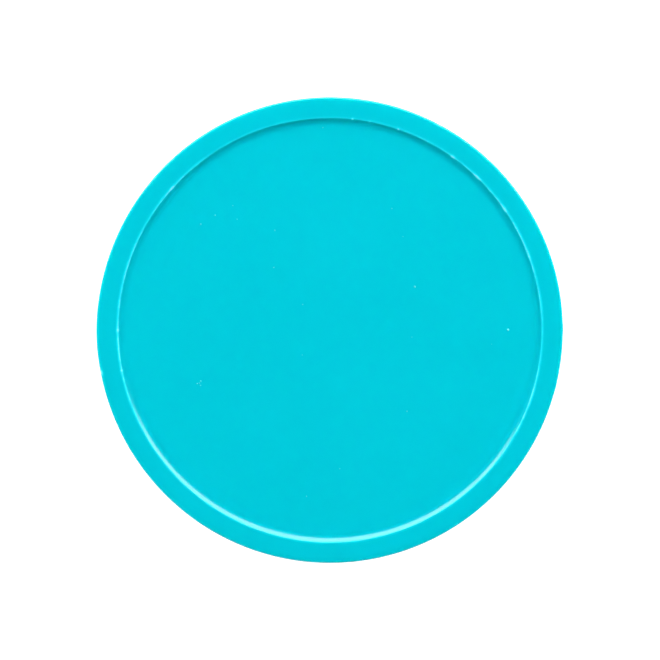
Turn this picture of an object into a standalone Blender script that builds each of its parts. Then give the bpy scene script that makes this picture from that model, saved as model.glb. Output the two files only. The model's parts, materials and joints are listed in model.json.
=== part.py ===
"""Dealer button: two identical moulded half shells, bonded round a steel weight.

Metres, +Z up. The origin is the centre of the rear rim face, the face that the button lies on,
and the front face looks along +Z.

The half shell is drawn once, in a frame of its own: its mating plane is z = 0 and its face looks
along +Z. The front shell is that shape lifted to the button's mid-plane, and the rear shell is
the same moulding turned over. Its posts and sockets alternate round one circle, so that turning
it over brings each post of one half to a socket of the other.
"""
import math

import bmesh
import bpy
from mathutils import Matrix, Vector

MM = 0.001

# The whole button
DIAMETER = 50 * MM
THICKNESS = 5 * MM
FIT_GAP = 0.3 * MM             # clearance between neighbouring pieces

# The face: a flat floor sunk inside a flat rim
RECESS_DEPTH = 0.36 * MM
LIP_RADIUS = 22.72 * MM        # where the recess's wall meets the rim
WALL_SLOPE = math.radians(45)  # of the wall at the lip, its steepest
COVE_RADIUS = 1.1 * MM         # hollow curve from the floor up into the wall
EDGE_FILLET = 0.3 * MM         # round outer edge of the rim
SEAM_CHAMFER = 0.1 * MM        # broken edge at the mating plane, which leaves a fine groove

# The inside: a pocket for the weight and a lightening channel round it
WEB = 1.04 * MM                # plastic between the recess floor and the pocket
POCKET_WALL = 1.2 * MM
SKIRT = 1.8 * MM               # outer wall
RIB_COUNT = 12
RIB_THICKNESS = 0.8 * MM
RIB_SHORTFALL = 0.35 * MM      # how far a rib stops short of the mating plane
ROOT = 0.3 * MM                # how deep ribs, posts and bosses are rooted in the plastic

# Posts and sockets, which line the halves up through holes in the weight
PAIR_COUNT = 3                 # posts on each half, and as many sockets
PIN_CIRCLE = 13 * MM           # radius of the circle that they stand on
SOCKET_RADIUS = 1.1 * MM
BOSS_WALL = 0.9 * MM
SOCKET_IN_WEB = 0.4 * MM       # how far a socket runs on into the web

# The weight
SLUG_RADIUS = 19 * MM
SLUG_THICKNESS = 1.6 * MM
SLUG_CHAMFER = 0.12 * MM

# Fineness of the round shapes
RING_STEPS = 96
PIN_STEPS = 24
ARC_STEPS = 4

# Worked out from the sizes above
RADIUS = DIAMETER / 2
MID_PLANE = THICKNESS / 2
MATING_Z = FIT_GAP / 2
RIM_Z = MID_PLANE
FLOOR_Z = RIM_Z - RECESS_DEPTH
CEILING_Z = FLOOR_Z - WEB
POCKET_RADIUS = SLUG_RADIUS + FIT_GAP
CHANNEL_INNER = POCKET_RADIUS + POCKET_WALL
CHANNEL_OUTER = RADIUS - SKIRT
SOCKET_TOP_Z = CEILING_Z + SOCKET_IN_WEB
POST_RADIUS = SOCKET_RADIUS - FIT_GAP
POST_TIP_Z = FIT_GAP - SOCKET_TOP_Z
BOSS_RADIUS = SOCKET_RADIUS + BOSS_WALL
PIN_SPACING = math.pi / PAIR_COUNT
SLUG_HOLE_RADIUS = BOSS_RADIUS + FIT_GAP

# Colours, linear
TURQUOISE = (0.0009, 0.604, 0.730, 1)
STEEL_GREY = (0.53, 0.52, 0.50, 1)


def empty_scene():
    for obj in list(bpy.data.objects):
        bpy.data.objects.remove(obj, do_unlink=True)


def new_collection(name):
    collection = bpy.data.collections.new(name)
    bpy.context.scene.collection.children.link(collection)
    return collection


def plain_material(name, colour, roughness, metallic=0.0):
    material = bpy.data.materials.new(name)
    material.use_nodes = True
    shader = material.node_tree.nodes["Principled BSDF"]
    shader.inputs["Base Color"].default_value = colour
    shader.inputs["Roughness"].default_value = roughness
    shader.inputs["Metallic"].default_value = metallic
    material.diffuse_color = colour
    return material


def on_circle(radius, angle, z=0.0):
    return Vector((radius * math.cos(angle), radius * math.sin(angle), z))


def arc(centre_x, centre_z, radius, start, end):
    """Points of an arc in the XZ plane, both ends included."""
    points = []
    for step in range(ARC_STEPS + 1):
        angle = start + (end - start) * step / ARC_STEPS
        x = centre_x + radius * math.cos(angle)
        z = centre_z + radius * math.sin(angle)
        points.append((x, z))
    return points


def add_object(name, mesh, collection):
    obj = bpy.data.objects.new(name, mesh)
    collection.objects.link(obj)
    return obj


def turned(name, profile, collection):
    """A turned solid: the profile runs from the axis outwards, down, and back to the axis."""
    mesh = bpy.data.meshes.new(name)
    vertices = [(x, 0, z) for x, z in profile]
    edges = [(i, i + 1) for i in range(len(profile) - 1)]
    mesh.from_pydata(vertices, edges, [])
    obj = add_object(name, mesh, collection)
    screw = obj.modifiers.new("turn", "SCREW")
    screw.axis = "Z"
    screw.steps = RING_STEPS
    screw.render_steps = RING_STEPS
    screw.use_merge_vertices = True
    screw.merge_threshold = 0.000001
    return obj


def cylinder(name, radius, low_z, high_z, steps, collection):
    mesh = bpy.data.meshes.new(name)
    shape = bmesh.new()
    bmesh.ops.create_cone(
        shape, cap_ends=True, segments=steps, radius1=radius, radius2=radius,
        depth=high_z - low_z, matrix=Matrix.Translation((0, 0, (low_z + high_z) / 2)),
    )
    shape.to_mesh(mesh)
    shape.free()
    return add_object(name, mesh, collection)


def block(name, size, centre, collection):
    mesh = bpy.data.meshes.new(name)
    shape = bmesh.new()
    place = Matrix.Translation(centre) @ Matrix.Diagonal((*size, 1))
    bmesh.ops.create_cube(shape, size=1, matrix=place)
    shape.to_mesh(mesh)
    shape.free()
    return add_object(name, mesh, collection)


def combine(target, tool, operation):
    """Join the tool to the target or cut it away, and keep the tool as a hidden guide."""
    boolean = target.modifiers.new(tool.name, "BOOLEAN")
    boolean.object = tool
    boolean.operation = operation
    boolean.solver = "EXACT"
    tool.hide_render = True
    tool.display_type = "WIRE"


def applied_mesh(obj, name):
    """The object's shape with its modifiers applied, as a mesh of its own."""
    bpy.context.view_layer.update()
    evaluated = obj.evaluated_get(bpy.context.evaluated_depsgraph_get())
    mesh = bpy.data.meshes.new_from_object(evaluated)
    mesh.name = name
    return mesh


def shade_round(mesh):
    mesh.shade_smooth()
    mesh.set_sharp_from_angle(angle=math.radians(30))


def half_shell_profile():
    down = math.radians(-90)
    cove_rise = COVE_RADIUS * (1 - math.cos(WALL_SLOPE))
    cove_run = COVE_RADIUS * math.sin(WALL_SLOPE)
    straight_run = (RECESS_DEPTH - cove_rise) / math.tan(WALL_SLOPE)
    cove_x = LIP_RADIUS - straight_run - cove_run
    cove = arc(cove_x, FLOOR_Z + COVE_RADIUS, COVE_RADIUS, down, down + WALL_SLOPE)
    edge = arc(RADIUS - EDGE_FILLET, RIM_Z - EDGE_FILLET, EDGE_FILLET, math.radians(90), 0)
    return [
        (0, FLOOR_Z),
        *cove,
        (LIP_RADIUS, RIM_Z),
        *edge,
        (RADIUS, MATING_Z + SEAM_CHAMFER),
        (RADIUS - SEAM_CHAMFER, MATING_Z),
        (CHANNEL_OUTER, MATING_Z),
        (CHANNEL_OUTER, CEILING_Z),
        (CHANNEL_INNER, CEILING_Z),
        (CHANNEL_INNER, MATING_Z),
        (POCKET_RADIUS, MATING_Z),
        (POCKET_RADIUS, CEILING_Z),
        (0, CEILING_Z),
    ]


def half_shell_mesh(tools):
    """One half shell, with its mating plane at z = 0 and its face looking along +Z."""
    shell = turned("half_shell", half_shell_profile(), tools)

    rib_length = CHANNEL_OUTER - CHANNEL_INNER + 2 * ROOT
    rib_low = MATING_Z + RIB_SHORTFALL
    rib_height = CEILING_Z + ROOT - rib_low
    rib_middle = (CHANNEL_INNER + CHANNEL_OUTER) / 2
    for i in range(RIB_COUNT):
        angle = math.tau * (i + 0.5) / RIB_COUNT
        size = (rib_length, RIB_THICKNESS, rib_height)
        rib = block(f"rib_{i + 1:02d}", size, (0, 0, 0), tools)
        rib.location = on_circle(rib_middle, angle, rib_low + rib_height / 2)
        rib.rotation_euler.z = angle
        combine(shell, rib, "UNION")

    for i in range(PAIR_COUNT):
        post_angle = 2 * i * PIN_SPACING
        post = cylinder(f"post_{i + 1}", POST_RADIUS, POST_TIP_Z, CEILING_Z + ROOT, PIN_STEPS, tools)
        post.location = on_circle(PIN_CIRCLE, post_angle)
        combine(shell, post, "UNION")

        socket_angle = post_angle + PIN_SPACING
        boss = cylinder(f"boss_{i + 1}", BOSS_RADIUS, MATING_Z, CEILING_Z + ROOT, PIN_STEPS, tools)
        boss.location = on_circle(PIN_CIRCLE, socket_angle)
        combine(shell, boss, "UNION")

        socket = cylinder(f"socket_{i + 1}", SOCKET_RADIUS, -MATING_Z, SOCKET_TOP_Z, PIN_STEPS, tools)
        socket.location = on_circle(PIN_CIRCLE, socket_angle)
        combine(shell, socket, "DIFFERENCE")

    mesh = applied_mesh(shell, "half_shell")
    shell.hide_render = True
    shell.display_type = "WIRE"
    shade_round(mesh)
    return mesh


def make_shells(parts, tools):
    plastic = plain_material("turquoise_plastic", TURQUOISE, roughness=0.28)
    mesh = half_shell_mesh(tools)
    mesh.materials.append(plastic)
    lift = Matrix.Translation((0, 0, MID_PLANE))

    front = add_object("front_shell", mesh, parts)
    front.matrix_world = lift

    rear = add_object("rear_shell", mesh, parts)
    rear.matrix_world = lift @ Matrix.Rotation(math.pi, 4, on_circle(1, PIN_SPACING / 2))


def make_slug(parts, tools):
    half = SLUG_THICKNESS / 2
    slug = cylinder("weight_slug", SLUG_RADIUS, -half, half, RING_STEPS, parts)
    for i in range(2 * PAIR_COUNT):
        hole = cylinder(f"slug_hole_{i + 1}", SLUG_HOLE_RADIUS, -2 * half, 2 * half, PIN_STEPS, tools)
        hole.location = on_circle(PIN_CIRCLE, i * PIN_SPACING, MID_PLANE)
        combine(slug, hole, "DIFFERENCE")
    chamfer = slug.modifiers.new("edge_chamfer", "BEVEL")
    chamfer.width = SLUG_CHAMFER
    chamfer.segments = 1
    chamfer.limit_method = "ANGLE"
    chamfer.angle_limit = math.radians(40)
    slug.location.z = MID_PLANE
    slug.data.materials.append(plain_material("steel", STEEL_GREY, roughness=0.35, metallic=1.0))
    shade_round(slug.data)


empty_scene()
button_parts = new_collection("dealer_button")
button_tools = new_collection("button_tools")
make_shells(button_parts, button_tools)
make_slug(button_parts, button_tools)
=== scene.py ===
"""Looks of the dealer button: fine shells, steel weight, materials, soft studio light and camera.

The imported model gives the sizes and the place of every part. Metres, +Z up, front face on top.
Each half shell is built in a frame of its own, with its mating plane at z = 0 and its face
looking along +Z. The rear half is the same moulding turned over, with wear of its own.
Angles are in degrees round +Z, counted from +X.
"""

import json
import math
from typing import NamedTuple

import bmesh
import bpy
import numpy as np
from mathutils import Matrix, Vector, noise


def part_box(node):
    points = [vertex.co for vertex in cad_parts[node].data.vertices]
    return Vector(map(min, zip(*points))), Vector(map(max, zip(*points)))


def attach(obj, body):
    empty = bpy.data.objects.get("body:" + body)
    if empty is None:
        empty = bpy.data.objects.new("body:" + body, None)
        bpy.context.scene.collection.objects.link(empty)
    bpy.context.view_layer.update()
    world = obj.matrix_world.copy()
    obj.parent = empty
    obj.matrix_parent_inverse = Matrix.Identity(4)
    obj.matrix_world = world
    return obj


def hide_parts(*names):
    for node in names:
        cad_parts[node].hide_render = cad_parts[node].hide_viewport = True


MM = 0.001

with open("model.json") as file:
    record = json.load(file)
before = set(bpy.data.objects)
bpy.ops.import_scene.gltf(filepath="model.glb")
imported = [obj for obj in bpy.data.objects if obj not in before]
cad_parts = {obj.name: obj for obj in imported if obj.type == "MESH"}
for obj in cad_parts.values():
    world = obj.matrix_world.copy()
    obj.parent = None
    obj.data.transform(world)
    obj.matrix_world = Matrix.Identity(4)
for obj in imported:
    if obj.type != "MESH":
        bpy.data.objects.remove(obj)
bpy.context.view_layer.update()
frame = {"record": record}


# Sizes ------------------------------------------------------------------------------------------

def mount_height(name):
    """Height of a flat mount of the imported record."""
    for mount in frame["record"]["mounts"]:
        if mount["name"] == name:
            return mount["pos_m"][2]
    raise KeyError(name)


front_low, front_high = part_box("front_shell")
slug_low, slug_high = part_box("weight_slug")

RADIUS = (front_high.x - front_low.x) / 2
THICKNESS = mount_height("front_rim") - mount_height("rear_rim")
MID_PLANE = THICKNESS / 2
RIM_Z = THICKNESS / 2
FLOOR_Z = mount_height("front_label_seat") - MID_PLANE
SLUG_RADIUS = (slug_high.x - slug_low.x) / 2
SLUG_HALF = (slug_high.z - slug_low.z) / 2
POST_TIP_Z = front_low.z - MID_PLANE

# The face, as on the CAD shell
LIP_CORNER = 22.72 * MM        # where the recess's wall would meet the rim if the lip were sharp
WALL_SLOPE = math.radians(45)  # of the wall just below the lip
COVE_RADIUS = 1.1 * MM         # hollow curve from the floor up into the wall
LIP_RADIUS = 0.10 * MM         # rounding of that corner
CROWN_START = 24.10 * MM       # where the rim starts to fall away towards its outer edge
CROWN_DROP = 0.025 * MM
FILLET_RADIUS = 0.22 * MM      # round outer edge of the rim
WALL_DRAFT = 0.03 * MM         # how much the outer wall leans in from the mating plane to the rim
BOND_GAP = 0.012 * MM          # half the hairline left between the bonded halves
SEAM_ROUND = 0.09 * MM         # round edge of the mating plane
SEAM_LAND = 0.1 * MM           # fine ring just inside it

# The inside, as on the CAD shell
FIT_GAP = 0.3 * MM             # clearance round the weight and the posts
WEB = 1.04 * MM                # plastic between the recess floor and the pocket
POCKET_WALL = 1.2 * MM
SKIRT = 1.8 * MM               # outer wall
RIB_COUNT = 12
RIB_THICKNESS = 0.8 * MM
RIB_LOW = 0.5 * MM             # height of the ribs' free edges
ROOT = 0.3 * MM                # how deep ribs, posts and bosses are rooted in the plastic
PAIR_COUNT = 3                 # posts on each half, and as many sockets
PIN_CIRCLE = 13 * MM           # radius of the circle that they stand on
PIN_SPACING = 180 / PAIR_COUNT
SOCKET_RADIUS = 1.1 * MM
SOCKET_IN_WEB = 0.4 * MM       # how far a socket runs on into the web
BOSS_WALL = 0.9 * MM
BOSS_LOW = 0.15 * MM           # height of the bosses' free ends

# Worked out from the sizes above
CEILING_Z = FLOOR_Z - WEB
POCKET_RADIUS = SLUG_RADIUS + FIT_GAP
CHANNEL_INNER = POCKET_RADIUS + POCKET_WALL
CHANNEL_OUTER = RADIUS - SKIRT
SOCKET_TOP_Z = CEILING_Z + SOCKET_IN_WEB
BOSS_RADIUS = SOCKET_RADIUS + BOSS_WALL
POST_RADIUS = SOCKET_RADIUS - FIT_GAP
SLUG_HOLE_RADIUS = BOSS_RADIUS + FIT_GAP

# Fineness: rings of the rim and wall are split finely, flat and hidden rings coarsely
FINE = 1440
COARSE = 360
PIN_STEPS = 48
COVE_STEPS = 14
WALL_STEPS = 3                 # across the recess's straight wall
LIP_STEPS = 6
RIM_STEPS = 6
CROWN_STEPS = 7
FILLET_STEPS = 8
OUTER_WALL_STEPS = 11
SEAM_STEPS = 4
SLUG_ROLL_STEPS = 6
FLAT_RINGS = (4, 8, 12, 16, 20)  # radii in mm, across the flat floor and the weight


def cyclic_noise(angle, grain, radius, seed):
    """Smooth noise from -1 to 1 round a circle, with features about one grain long."""
    reach = radius / grain
    turn = math.radians(angle)
    return noise.noise(Vector((reach * math.cos(turn), reach * math.sin(turn), 17.3 * seed)))


def bell(distance, width):
    return math.exp(-((distance / width) ** 2))


def turn_between(a, b):
    """The smaller angle between two directions."""
    return abs((a - b + 180) % 360 - 180)


def on_circle(radius, angle, z=0.0):
    turn = math.radians(angle)
    return Vector((radius * math.cos(turn), radius * math.sin(turn), z))


# Wear -------------------------------------------------------------------------------------------

class Wear(NamedTuple):
    """The small faults of one half shell, with the stretches of its lip that are painted lighter.
    Lengths and diameters are in mm.
    """

    lip_marks: tuple   # dents in the lip of the recess: angle, half length, depth
    rubbed_and_sheen: tuple      # lip painted lighter, as rubbing and as painted highlight: angle of the middle, half length in degrees
    edge_marks: tuple  # dents in the rim's outer edge: angle, half length, depth, negative for a burr
    pips: tuple        # moulded-in specks on the floor: radius and angle of their place, diameter
    seed: int


FRONT_WEAR = Wear(
    lip_marks=(
        (83.9, 0.12, 0.04), (79.3, 0.15, 0.08), (71.2, 0.12, 0.09), (54.7, 0.25, 0.04),
        (46, 0.35, 0.04), (34.5, 0.40, 0.04), (21.5, 0.55, 0.04), (138, 0.35, 0.04),
        (180, 0.15, 0.05), (191, 0.10, 0.03),
    ),
    # on the front these stretches also paint the lip lighter where its highlight is brightest
    rubbed_and_sheen=((32, 34), (138, 10), (175, 36), (338, 18)),
    edge_marks=((190.5, 0.35, 0.06), (0.5, 0.5, -0.05), (346, 0.4, -0.05), (62, 0.5, 0.03)),
    pips=(
        (19.1, 0, 0.25), (10.2, 27, 0.25), (12.0, 313.4, 0.17), (17.9, 140.7, 0.15),
        (12.2, 119, 0.16), (14.6, 63, 0.17), (14.9, 274, 0.16), (12.7, 52, 0.14),
        (17.4, 135, 0.14), (18.0, 262, 0.14), (4.0, 137, 0.15), (9.0, 132, 0.14),
        (8.8, 355, 0.13), (4.0, 222, 0.13), (15.5, 130, 0.12), (16.9, 128, 0.12),
        (17.4, 355, 0.12), (21.7, 92, 0.15), (14.9, 201.6, 0.15), (15.1, 202.2, 0.14),
        (15.35, 202, 0.15), (15.1, 203.2, 0.15),
    ),
    seed=1,
)
REAR_WEAR = Wear(
    lip_marks=(
        (12, 0.30, 0.06), (58, 0.20, 0.05), (97, 0.50, 0.06), (163, 0.15, 0.05),
        (214, 0.40, 0.07), (251, 0.22, 0.05), (302, 0.30, 0.05),
    ),
    rubbed_and_sheen=((95, 40), (310, 25)),
    edge_marks=((40, 0.4, 0.05), (133, 0.3, 0.06), (275, 0.5, -0.04), (318, 0.25, 0.05)),
    pips=(
        (5.5, 80, 0.15), (16.5, 20, 0.18), (11.0, 160, 0.14), (19.5, 218, 0.16),
        (8.0, 290, 0.13), (14.0, 330, 0.16), (17.5, 105, 0.12), (12.5, 250, 0.14),
    ),
    seed=11,
)

GATE_ANGLE = 181               # middle of the trimmed gate on the outer wall
GATE_HALF_WIDTH = 2.8 * MM
GATE_LOW = 0.25 * MM
GATE_HIGH = 1.7 * MM
GATE_PROUD = 0.045 * MM
GATE_BLEND = 0.25 * MM         # width of the slope round the torn face
GATE_SWELL = 0.085 * MM        # bulge of the whole wall on both sides of the gate
GATE_SWELL_ANGLE = 13

# Unevenness of the moulding: the height of the waves and their length
LIP_RAGGED = (0.007 * MM, 1.6 * MM)
LIP_JAGGED = (0.003 * MM, 0.5 * MM)
EDGE_WAVY = (0.008 * MM, 3 * MM)
FLASH = (0.02 * MM, 2.5 * MM)  # fin of plastic squeezed out along the bond line
WALL_WAVY = (0.004 * MM, 9 * MM)
RIM_WAVY = (0.002 * MM, 6 * MM)

# How far from its edge each kind of wear reaches
LIP_REACH = 0.10 * MM
EDGE_REACH = 0.22 * MM
FLASH_REACH = 0.07 * MM

# How much lighter the plastic is painted, from 0 to 1: worn, and round the lip also a painted
# highlight
LIP_SHEEN_AND_WEAR = 0.26                # all round the lip: painted highlight along its edge, with some whitening
RUBBED_SHEEN_AND_WEAR = 0.50             # added in the middle of a rubbed stretch: rubbing and painted highlight
MARK_WORN = 0.6                # added at a mark on the lip
EDGE_WORN = 0.12               # all round the rim's outer edge


def mark_strength(angle, marks, radius):
    """How far a point on the circle is inside any mark, from 0 to 1, and the depth there."""
    strength, depth = 0.0, 0.0
    for centre, half_length, mark_depth in marks:
        away = math.radians(turn_between(angle, centre)) * radius
        here = bell(away, half_length * MM)
        if here > strength:
            strength, depth = here, mark_depth * MM * here
    return strength, depth


def rubbed_and_sheen_share(angle, stretches):
    """How far a point on the lip is inside a stretch that is painted lighter, as rubbing and as
    painted highlight, from 0 to 1.
    """
    return max(bell(turn_between(angle, middle), half_length) for middle, half_length in stretches)


def gate_shape(angle, z):
    """How far the torn face of the trimmed gate stands proud of the outer wall."""
    across = math.radians(turn_between(angle, GATE_ANGLE)) * RADIUS
    inside = min(GATE_HALF_WIDTH - across, z - GATE_LOW, GATE_HIGH - z)
    if inside <= 0:
        return 0.0
    rise = min(1.0, inside / GATE_BLEND)
    torn = 0.75 + 0.35 * noise.noise(Vector((across, z, 0)) / (0.5 * MM))
    return GATE_PROUD * rise * torn


# The half shell ---------------------------------------------------------------------------------

def arc(centre_r, centre_z, radius, start, end, steps):
    points = []
    for step in range(steps + 1):
        angle = start + (end - start) * step / steps
        points.append((centre_r + radius * math.cos(angle), centre_z + radius * math.sin(angle)))
    return points


def spread(start, end, steps):
    """Points between two ends, with both ends left out."""
    points = []
    for step in range(1, steps):
        share = step / steps
        points.append(tuple(a + (b - a) * share for a, b in zip(start, end)))
    return points


def face_profile():
    """Rings of the visible side, from the middle of the floor out and down to the bond line."""
    up, down = math.radians(90), math.radians(-90)
    lip_r = LIP_CORNER + LIP_RADIUS * math.tan(WALL_SLOPE / 2)
    lip = arc(lip_r, RIM_Z - LIP_RADIUS, LIP_RADIUS, up + WALL_SLOPE, up, LIP_STEPS)
    wall_rise = lip[0][1] - FLOOR_Z - COVE_RADIUS * (1 - math.cos(WALL_SLOPE))
    cove_r = lip[0][0] - wall_rise / math.tan(WALL_SLOPE) - COVE_RADIUS * math.sin(WALL_SLOPE)
    cove = arc(cove_r, FLOOR_Z + COVE_RADIUS, COVE_RADIUS, down, down + WALL_SLOPE, COVE_STEPS)
    fillet_r = RADIUS - WALL_DRAFT - FILLET_RADIUS
    fillet_z = RIM_Z - CROWN_DROP - FILLET_RADIUS
    crown = []
    for step in range(CROWN_STEPS):
        share = step / CROWN_STEPS
        crown.append((CROWN_START + (fillet_r - CROWN_START) * share, RIM_Z - CROWN_DROP * share ** 2))
    fillet = arc(fillet_r, fillet_z, FILLET_RADIUS, math.radians(84), 0, FILLET_STEPS)
    seam_top = (RADIUS, BOND_GAP + SEAM_ROUND)
    seam = arc(RADIUS - SEAM_ROUND, BOND_GAP + SEAM_ROUND, SEAM_ROUND, 0, down, SEAM_STEPS)
    return [
        (cove_r - 0.3 * MM, FLOOR_Z), (cove_r - 0.1 * MM, FLOOR_Z),
        *cove,
        *spread(cove[-1], lip[0], WALL_STEPS),
        *lip,
        *spread(lip[-1], crown[0], RIM_STEPS),
        *crown,
        *fillet,
        *spread(fillet[-1], seam_top, OUTER_WALL_STEPS),
        *seam,
        (RADIUS - SEAM_ROUND - SEAM_LAND, BOND_GAP),
    ]


def inside_profile():
    """Rings of the hidden side, from the mating face in to the middle of the pocket."""
    return [
        (RADIUS - 0.5 * MM, BOND_GAP), (CHANNEL_OUTER, BOND_GAP), (CHANNEL_OUTER, CEILING_Z),
        (CHANNEL_INNER, CEILING_Z), (CHANNEL_INNER, BOND_GAP),
        (POCKET_RADIUS, BOND_GAP), (POCKET_RADIUS, CEILING_Z), (POCKET_RADIUS - 1 * MM, CEILING_Z),
    ]


def floor_profile():
    return [(radius * MM, FLOOR_Z) for radius in FLAT_RINGS]


def uneven(waves, angle, radius, seed):
    """How far a wavy surface stands from its true place."""
    height, length = waves
    return height * cyclic_noise(angle, length, radius, seed)


def worn_place(radius, z, angle, wear):
    """Where a point of the fine rings lies, with the small faults of a used moulding."""
    seed = wear.seed
    lip_near = bell(math.hypot(radius - LIP_CORNER, z - RIM_Z), LIP_REACH)
    if lip_near > 0.01:
        _, depth = mark_strength(angle, wear.lip_marks, LIP_CORNER)
        ragged = uneven(LIP_RAGGED, angle, LIP_CORNER, seed)
        ragged += uneven(LIP_JAGGED, angle, LIP_CORNER, seed + 1)
        radius += lip_near * (depth + ragged)
        z = min(RIM_Z, z + lip_near * (0.15 * depth + 0.5 * ragged))

    edge_near = bell(math.hypot(radius - RADIUS, z - RIM_Z), EDGE_REACH)
    if edge_near > 0.01:
        _, depth = mark_strength(angle, wear.edge_marks, RADIUS)
        radius -= edge_near * (depth + uneven(EDGE_WAVY, angle, RADIUS, seed + 2))
        z -= 0.4 * edge_near * max(depth, 0)

    on_wall = radius > RADIUS - 0.1 * MM
    near_wall = max(0.0, 1 - (RADIUS - radius) / (0.5 * MM))
    radius += GATE_SWELL * near_wall * bell(turn_between(angle, GATE_ANGLE), GATE_SWELL_ANGLE)
    if on_wall:
        radius += gate_shape(angle, z)
        flash, flash_length = FLASH
        squeezed = max(0.5 + cyclic_noise(angle, flash_length, RADIUS, seed + 3), 0)
        radius += flash * squeezed * bell(z, FLASH_REACH)
        radius += uneven(WALL_WAVY, angle, RADIUS, seed + 4)

    on_rim = LIP_CORNER + 0.1 * MM < radius and z > RIM_Z - CROWN_DROP - 0.01 * MM
    if on_rim:
        z -= RIM_WAVY[0] + uneven(RIM_WAVY, angle, radius, seed + 5)
    return on_circle(radius, angle, z)


def coarse_ring(shape, radius, z):
    return [shape.verts.new(on_circle(radius, 360 * i / COARSE, z)) for i in range(COARSE)]


def worn_ring(shape, radius, z, wear):
    return [shape.verts.new(worn_place(radius, z, 360 * i / FINE, wear)) for i in range(FINE)]


def join_rings(shape, first, second):
    """Faces between two rings: quads, or one wide face for each step of a coarser ring."""
    coarse = min(len(first), len(second))
    first_share = len(first) // coarse
    second_share = len(second) // coarse
    for i in range(coarse):
        start = [first[(i * first_share + k) % len(first)] for k in range(first_share + 1)]
        end = [second[(i * second_share + k) % len(second)] for k in range(second_share + 1)]
        shape.faces.new(start[::-1] + end)


def cap_ring(shape, ring, centre, upwards):
    middle = shape.verts.new(centre)
    for i, vertex in enumerate(ring):
        after = ring[(i + 1) % len(ring)]
        shape.faces.new((middle, vertex, after) if upwards else (middle, after, vertex))


def shell_body(name, wear):
    """The turned shape of the half shell: every ring in order, joined and closed."""
    shape = bmesh.new()
    rings = [coarse_ring(shape, radius, z) for radius, z in floor_profile()]
    rings += [worn_ring(shape, radius, z, wear) for radius, z in face_profile()]
    rings += [coarse_ring(shape, radius, z) for radius, z in inside_profile()]
    for first, second in zip(rings, rings[1:]):
        join_rings(shape, first, second)
    cap_ring(shape, rings[0], (0, 0, FLOOR_Z), upwards=True)
    cap_ring(shape, rings[-1], (0, 0, CEILING_Z), upwards=False)
    return finished_object(name, shape)


def finished_object(name, shape):
    mesh = bpy.data.meshes.new(name)
    shape.to_mesh(mesh)
    shape.free()
    obj = bpy.data.objects.new(name, mesh)
    bpy.context.scene.collection.objects.link(obj)
    return obj


def add_pin(shape, radius, low, high, place):
    middle = Matrix.Translation(place + Vector((0, 0, (low + high) / 2)))
    bmesh.ops.create_cone(
        shape, cap_ends=True, segments=PIN_STEPS, radius1=radius, radius2=radius,
        depth=high - low, matrix=middle,
    )


def add_pip(shape, place, diameter, seed):
    """A tiny uneven bump, half sunk in the floor."""
    size = diameter * MM / 2
    stretch = 1 + 0.35 * noise.noise(Vector((seed, 0.5, 0.5)) * 3.7)
    spin = Matrix.Rotation(seed * 1.9, 4, "Z")
    squash = Matrix.Diagonal((stretch, 1 / stretch, 0.55, 1))
    bmesh.ops.create_icosphere(
        shape, subdivisions=2, radius=size, matrix=Matrix.Translation(place) @ spin @ squash,
    )


def added_features(pips):
    """Ribs, posts, bosses and pips: everything that is joined to the turned shape."""
    shape = bmesh.new()
    rib_middle = (CHANNEL_INNER + CHANNEL_OUTER) / 2
    rib_length = CHANNEL_OUTER - CHANNEL_INNER + 2 * ROOT
    rib_high = CEILING_Z + ROOT
    for i in range(RIB_COUNT):
        angle = 360 * (i + 0.5) / RIB_COUNT
        place = Matrix.Translation(on_circle(rib_middle, angle, (RIB_LOW + rib_high) / 2))
        spin = Matrix.Rotation(math.radians(angle), 4, "Z")
        size = Matrix.Diagonal((rib_length, RIB_THICKNESS, rib_high - RIB_LOW, 1))
        bmesh.ops.create_cube(shape, size=1, matrix=place @ spin @ size)
    for i in range(PAIR_COUNT):
        post_place = on_circle(PIN_CIRCLE, 2 * i * PIN_SPACING)
        boss_place = on_circle(PIN_CIRCLE, (2 * i + 1) * PIN_SPACING)
        add_pin(shape, POST_RADIUS, POST_TIP_Z, CEILING_Z + ROOT, post_place)
        add_pin(shape, BOSS_RADIUS, BOSS_LOW, CEILING_Z + ROOT, boss_place)
    for i, (radius, angle, diameter) in enumerate(pips):
        add_pip(shape, on_circle(radius * MM, angle, FLOOR_Z), diameter, i + 1)
    return finished_object("features", shape)


def sockets():
    shape = bmesh.new()
    for i in range(PAIR_COUNT):
        place = on_circle(PIN_CIRCLE, (2 * i + 1) * PIN_SPACING)
        add_pin(shape, SOCKET_RADIUS, 0, SOCKET_TOP_Z, place)
    return finished_object("sockets", shape)


def boolean_once(target, tool, operation):
    """Join or cut with the tool, keep the result as the target's mesh, and drop the tool."""
    modifier = target.modifiers.new(operation, "BOOLEAN")
    modifier.object = tool
    modifier.operation = operation
    modifier.solver = "EXACT"
    bpy.context.view_layer.update()
    evaluated = target.evaluated_get(bpy.context.evaluated_depsgraph_get())
    result = bpy.data.meshes.new_from_object(evaluated)
    target.modifiers.clear()
    target.data = result
    bpy.data.objects.remove(tool, do_unlink=True)


def shade_round(mesh):
    mesh.shade_smooth()
    mesh.set_sharp_from_angle(angle=math.radians(35))


def vertex_places(mesh):
    places = np.zeros(len(mesh.vertices) * 3)
    mesh.vertices.foreach_get("co", places)
    return places.reshape(-1, 3)


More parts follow.
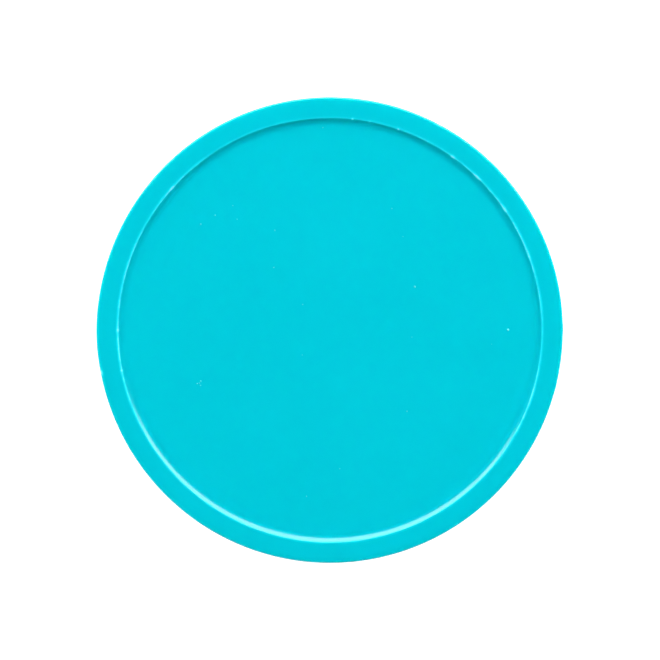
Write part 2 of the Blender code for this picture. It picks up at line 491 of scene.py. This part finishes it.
def store_wear_and_sheen(mesh, wear):
    """Vertex attributes for the material: wear_and_sheen is rubbed and whitened plastic, and round the
    lip a painted highlight; pale is a speck.
    """
    places = vertex_places(mesh)
    radii = np.hypot(places[:, 0], places[:, 1])
    angles = np.degrees(np.arctan2(places[:, 1], places[:, 0]))
    wear_and_sheen = np.zeros(len(places))
    lip_away = np.hypot(radii - LIP_CORNER + 0.02 * MM, places[:, 2] - RIM_Z + 0.03 * MM)
    edge_away = np.hypot(radii - RADIUS + 0.06 * MM, places[:, 2] - RIM_Z + 0.06 * MM)
    for i in np.nonzero(lip_away < 0.35 * MM)[0]:
        strength, _ = mark_strength(angles[i], wear.lip_marks, LIP_CORNER)
        # the lip painted lighter all round as its highlight, more in the rubbed stretches, and at the
        # marks as worn plastic
        lip_sheen_and_wear = LIP_SHEEN_AND_WEAR + RUBBED_SHEEN_AND_WEAR * rubbed_and_sheen_share(angles[i], wear.rubbed_and_sheen)
        wear_and_sheen[i] = lip_sheen_and_wear * bell(lip_away[i], 0.10 * MM)
        wear_and_sheen[i] += MARK_WORN * strength * bell(lip_away[i], 0.16 * MM)
    for i in np.nonzero(edge_away < 0.6 * MM)[0]:
        strength, depth = mark_strength(angles[i], wear.edge_marks, RADIUS)
        edge_worn = EDGE_WORN * bell(edge_away[i], 0.12 * MM)
        if depth > 0:
            edge_worn += strength * bell(edge_away[i], 0.2 * MM)
        wear_and_sheen[i] = max(wear_and_sheen[i], edge_worn)
    pale = np.zeros(len(places))
    above_floor = places[:, 2] > FLOOR_Z + 0.001 * MM
    for radius, angle, diameter in wear.pips:
        away = np.linalg.norm(places - np.array(on_circle(radius * MM, angle, FLOOR_Z)), axis=1)
        pale[(away < 0.75 * diameter * MM) & above_floor] = 1
    for name, values in (("wear_and_sheen", wear_and_sheen.clip(0, 1)), ("pale", pale)):
        attribute = mesh.attributes.new(name, "FLOAT", "POINT")
        attribute.data.foreach_set("value", values.astype(np.float32))


def half_shell(name, wear):
    shell = shell_body(name, wear)
    boolean_once(shell, added_features(wear.pips), "UNION")
    boolean_once(shell, sockets(), "DIFFERENCE")
    shell.data.name = name
    store_wear_and_sheen(shell.data, wear)
    shade_round(shell.data)
    return shell


# The weight -------------------------------------------------------------------------------------

SLUG_ROLL = 0.16 * MM          # edge rounded over on the punch side
SLUG_SHEARED = 0.5 * MM        # depth of the smooth sheared band below that face
SLUG_BROKEN = 0.35 * MM        # depth of the torn band on the other side
SLUG_TAPER = 0.03 * MM         # how much narrower the torn band is
SLUG_CHAMFER = 0.05 * MM
SLUG_TORN = (0.012 * MM, 0.6 * MM)
SLUG_SEED = 40


def slug_profile():
    """Rings of the blanked disc, from the middle of the punch side round to the other side."""
    flats = [radius * MM for radius in FLAT_RINGS if radius * MM < SLUG_RADIUS]
    torn_radius = SLUG_RADIUS - SLUG_TAPER
    quarter = math.radians(90)
    return [
        *[(radius, SLUG_HALF) for radius in flats],
        *arc(SLUG_RADIUS - SLUG_ROLL, SLUG_HALF - SLUG_ROLL, SLUG_ROLL, quarter, 0, SLUG_ROLL_STEPS),
        (SLUG_RADIUS, SLUG_HALF - SLUG_SHEARED),
        (torn_radius, -SLUG_HALF + SLUG_BROKEN),
        (torn_radius, -SLUG_HALF + SLUG_CHAMFER),
        (SLUG_RADIUS - SLUG_CHAMFER, -SLUG_HALF),
        *[(radius, -SLUG_HALF) for radius in reversed(flats)],
    ]


def steel_slug():
    """A blanked disc: rolled over on the punch side, torn on the other, with clearance holes."""
    shape = bmesh.new()
    rings = []
    for radius, z in slug_profile():
        torn = z < 0 and radius > SLUG_RADIUS - 0.2 * MM
        ring = []
        for i in range(COARSE):
            angle = 360 * i / COARSE
            rough = uneven(SLUG_TORN, angle, SLUG_RADIUS, SLUG_SEED) if torn else 0
            ring.append(shape.verts.new(on_circle(radius + rough, angle, z)))
        rings.append(ring)
    for first, second in zip(rings, rings[1:]):
        join_rings(shape, first, second)
    cap_ring(shape, rings[0], (0, 0, SLUG_HALF), upwards=True)
    cap_ring(shape, rings[-1], (0, 0, -SLUG_HALF), upwards=False)
    slug = finished_object("steel_weight", shape)

    holes = bmesh.new()
    for i in range(2 * PAIR_COUNT):
        place = on_circle(PIN_CIRCLE, i * PIN_SPACING)
        add_pin(holes, SLUG_HOLE_RADIUS, -2 * SLUG_HALF, 2 * SLUG_HALF, place)
    boolean_once(slug, finished_object("slug_holes", holes), "DIFFERENCE")
    slug.data.transform(Matrix.Translation((0, 0, MID_PLANE)))
    shade_round(slug.data)
    return slug


# Materials --------------------------------------------------------------------------------------

class Nodes:
    """Short calls for building one material's node tree."""

    def __init__(self, name):
        self.material = bpy.data.materials.new(name)
        self.material.use_nodes = True
        self.tree = self.material.node_tree
        self.shader = self.tree.nodes["Principled BSDF"]

    def add(self, kind, **settings):
        node = self.tree.nodes.new(kind)
        for key, value in settings.items():
            setattr(node, key, value)
        return node

    def link(self, output, target):
        self.tree.links.new(output, target)

    def coordinates(self, scale):
        """Object coordinates times a scale, which may differ along X, Y and Z."""
        mapping = self.add("ShaderNodeMapping")
        mapping.inputs["Scale"].default_value = scale
        self.link(self.add("ShaderNodeTexCoord").outputs["Object"], mapping.inputs["Vector"])
        return mapping.outputs["Vector"]

    def noise(self, grain, detail=2.0, stretch=(1, 1, 1)):
        """Noise from 0 to 1 with features about one grain wide."""
        texture = self.add("ShaderNodeTexNoise")
        texture.inputs["Scale"].default_value = 1.0
        texture.inputs["Detail"].default_value = detail
        self.link(self.coordinates([s / grain for s in stretch]), texture.inputs["Vector"])
        return texture.outputs["Fac"]

    def range(self, value, low, high, to_low, to_high):
        """A value carried over from the range low to high, to another range."""
        node = self.add("ShaderNodeMapRange")
        node.inputs["From Min"].default_value = low
        node.inputs["From Max"].default_value = high
        node.inputs["To Min"].default_value = to_low
        node.inputs["To Max"].default_value = to_high
        self.link(value, node.inputs["Value"])
        return node.outputs["Result"]

    def math(self, operation, first, second):
        node = self.add("ShaderNodeMath", operation=operation)
        for socket, value in zip(node.inputs, (first, second)):
            if isinstance(value, (int, float)):
                socket.default_value = value
            else:
                self.link(value, socket)
        return node.outputs["Value"]

    def mix(self, factor, first, second):
        node = self.add("ShaderNodeMix", data_type="RGBA")
        self.link(factor, node.inputs["Factor"])
        for socket, value in ((node.inputs["A"], first), (node.inputs["B"], second)):
            if isinstance(value, tuple):
                socket.default_value = (*value, 1)
            else:
                self.link(value, socket)
        return node.outputs["Result"]

    def attribute(self, name):
        return self.add("ShaderNodeAttribute", attribute_name=name).outputs["Fac"]

    def bump(self, height, distance, normal=None):
        node = self.add("ShaderNodeBump")
        node.inputs["Distance"].default_value = distance
        self.link(height, node.inputs["Height"])
        if normal is not None:
            self.link(normal, node.inputs["Normal"])
        return node.outputs["Normal"]


# Colours, linear
TURQUOISE = (0.0001, 0.263, 0.314)
TURQUOISE_CLOUD = (0.0002, 0.269, 0.322)
TURQUOISE_GRAIN = (0.0003, 0.275, 0.327)
# lighter copies of the turquoise for rubbed and whitened plastic, also painted round the lip as its
# highlight
RUBBED_AND_SHEEN_PLASTIC = (0.012, 0.50, 0.62)
WHITENED_AND_SHEEN_PLASTIC = (0.15, 0.36, 0.45)
PALE_PLASTIC = (0.05, 0.33, 0.35)
DARK_STEEL = (0.40, 0.39, 0.375)
LIGHT_STEEL = (0.60, 0.59, 0.57)
OXIDE = (0.30, 0.25, 0.20)

SCATTER_DEPTH = 1.5 * MM       # how far light wanders under the skin of the plastic
SCATTER_SHARES = (0.2, 1.0, 0.7)  # of that depth, for red, green and blue
PLASTIC_IOR = 1.6


def moulded_plastic():
    """Turquoise moulded plastic: near-even colour, soft gloss, whitened where it is rubbed, and
    painted lighter round the lip as a highlight.
    """
    nodes = Nodes("turquoise_plastic")
    shader = nodes.shader
    cloudy = nodes.range(nodes.noise(9 * MM), 0.3, 0.7, 0, 1)
    colour = nodes.mix(cloudy, TURQUOISE, TURQUOISE_CLOUD)
    grain = nodes.range(nodes.noise(0.35 * MM, detail=3), 0.35, 0.65, 0, 1)
    colour = nodes.mix(nodes.math("MULTIPLY", grain, 0.35), colour, TURQUOISE_GRAIN)

    broken = nodes.range(nodes.noise(1.1 * MM, detail=3), 0.36, 0.58, 0.62, 1)
    # lighter at rubbing and marks, and round the lip as a painted highlight
    wear_and_sheen = nodes.math("MULTIPLY", nodes.attribute("wear_and_sheen"), broken)
    pale = nodes.attribute("pale")
    colour = nodes.mix(wear_and_sheen, colour, RUBBED_AND_SHEEN_PLASTIC)
    colour = nodes.mix(nodes.range(wear_and_sheen, 0.40, 1, 0, 0.7), colour, WHITENED_AND_SHEEN_PLASTIC)
    colour = nodes.mix(nodes.math("MULTIPLY", pale, 0.8), colour, PALE_PLASTIC)
    nodes.link(colour, shader.inputs["Base Color"])

    smudged = nodes.range(nodes.noise(5 * MM, detail=3), 0.35, 0.7, 0.14, 0.19)
    rough = nodes.math("ADD", smudged, nodes.math("MULTIPLY", wear_and_sheen, 0.15))
    nodes.link(rough, shader.inputs["Roughness"])
    shader.inputs["IOR"].default_value = PLASTIC_IOR
    shader.inputs["Subsurface Weight"].default_value = 1.0
    shader.inputs["Subsurface Radius"].default_value = SCATTER_SHARES
    shader.inputs["Subsurface Scale"].default_value = SCATTER_DEPTH

    skin = nodes.bump(nodes.noise(0.5 * MM, detail=2), 0.0006 * MM)
    rubbed_and_sheen = nodes.bump(nodes.math("MULTIPLY", wear_and_sheen, nodes.noise(0.06 * MM)), 0.02 * MM, skin)
    nodes.link(rubbed_and_sheen, shader.inputs["Normal"])
    return nodes.material


def rolled_steel():
    """Blanked mild steel sheet: rolling grain along X and a thin uneven oxide film."""
    nodes = Nodes("rolled_steel")
    shader = nodes.shader
    grain = nodes.noise(0.12 * MM, detail=3, stretch=(0.02, 1, 1))
    film = nodes.range(nodes.noise(4 * MM, detail=4), 0.4, 0.65, 0, 1)
    colour = nodes.mix(grain, DARK_STEEL, LIGHT_STEEL)
    colour = nodes.mix(nodes.math("MULTIPLY", film, 0.35), colour, OXIDE)
    nodes.link(colour, shader.inputs["Base Color"])
    nodes.link(nodes.range(grain, 0.3, 0.7, 0.28, 0.45), shader.inputs["Roughness"])
    shader.inputs["Metallic"].default_value = 1.0
    nodes.link(nodes.bump(grain, 0.004 * MM), shader.inputs["Normal"])
    return nodes.material


def dress(piece, material, node):
    piece.data.materials.clear()
    piece.data.materials.append(material)
    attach(piece, "root")
    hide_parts(node)


# Stage ------------------------------------------------------------------------------------------

TABLE_HALF_WIDTH = 3.0
TABLE_GREY = 0.55              # how much of the lamps' light the table returns
TABLE_GLOW = 0.85
STUDIO_DARK = 0.002
CAMERA_HEIGHT = 0.5            # above the front face
PICTURE_SHARE = 0.704          # of the picture's width that the button takes up
FIELD_WIDTH = RADIUS * 2 / PICTURE_SHARE
SENSOR_WIDTH = 36.0            # in mm, as Blender counts it


def stage_floor():
    """A plain white light table."""
    bpy.ops.mesh.primitive_plane_add(size=2 * TABLE_HALF_WIDTH, location=(0, 0, 0))
    floor = bpy.context.object
    floor.name = "floor"
    nodes = Nodes("white_table")
    nodes.shader.inputs["Base Color"].default_value = (TABLE_GREY, TABLE_GREY, TABLE_GREY, 1)
    nodes.shader.inputs["Roughness"].default_value = 1.0
    nodes.shader.inputs["Specular IOR Level"].default_value = 0.0
    nodes.shader.inputs["Emission Color"].default_value = (1, 1, 1, 1)
    nodes.shader.inputs["Emission Strength"].default_value = TABLE_GLOW
    floor.data.materials.append(nodes.material)


def soft_box(name, azimuth, elevation, distance, width, height, radiance, mirrored=True):
    """An area light that faces the button. One that isn't mirrored adds no gloss to it."""
    light = bpy.data.lights.new(name, "AREA")
    light.shape = "RECTANGLE"
    light.size = width
    light.size_y = height
    light.energy = radiance * math.pi * width * height
    lamp = bpy.data.objects.new(name, light)
    bpy.context.scene.collection.objects.link(lamp)
    flat = distance * math.cos(math.radians(elevation))
    lamp.location = on_circle(flat, azimuth, distance * math.sin(math.radians(elevation)))
    lamp.rotation_euler = (-lamp.location).to_track_quat("-Z", "Y").to_euler()
    lamp.visible_camera = False
    lamp.visible_glossy = mirrored


def studio_light():
    soft_box("key", azimuth=86, elevation=29, distance=0.6, width=1.9, height=0.50, radiance=4.9)
    soft_box(
        "overhead", azimuth=88, elevation=70, distance=1.0, width=1.6, height=1.2, radiance=5.8,
        mirrored=False,
    )
    world = bpy.data.worlds.new("dark_studio")
    world.use_nodes = True
    background = world.node_tree.nodes["Background"]
    background.inputs["Color"].default_value = (STUDIO_DARK, STUDIO_DARK, STUDIO_DARK, 1)
    bpy.context.scene.world = world


def camera_above():
    """Straight down on the front face, with +Y up in the picture."""
    camera = bpy.data.cameras.new("camera")
    camera.sensor_width = SENSOR_WIDTH
    camera.lens = SENSOR_WIDTH * (CAMERA_HEIGHT + MID_PLANE) / FIELD_WIDTH
    camera.clip_start = 0.01
    camera.clip_end = 20
    holder = bpy.data.objects.new("camera", camera)
    bpy.context.scene.collection.objects.link(holder)
    holder.location = (0, 0, THICKNESS + CAMERA_HEIGHT)
    bpy.context.scene.camera = holder


# The scene --------------------------------------------------------------------------------------

plastic = moulded_plastic()

front = half_shell("front_half", FRONT_WEAR)
front.data.transform(Matrix.Translation((0, 0, MID_PLANE)))
dress(front, plastic, "front_shell")

rear = half_shell("rear_half", REAR_WEAR)
turn_over = Matrix.Rotation(math.pi, 4, on_circle(1, PIN_SPACING / 2))
rear.data.transform(Matrix.Translation((0, 0, MID_PLANE)) @ turn_over)
dress(rear, plastic, "rear_shell")

dress(steel_slug(), rolled_steel(), "weight_slug")

stage_floor()
studio_light()
camera_above()
bpy.context.scene.view_settings.view_transform = "Standard"
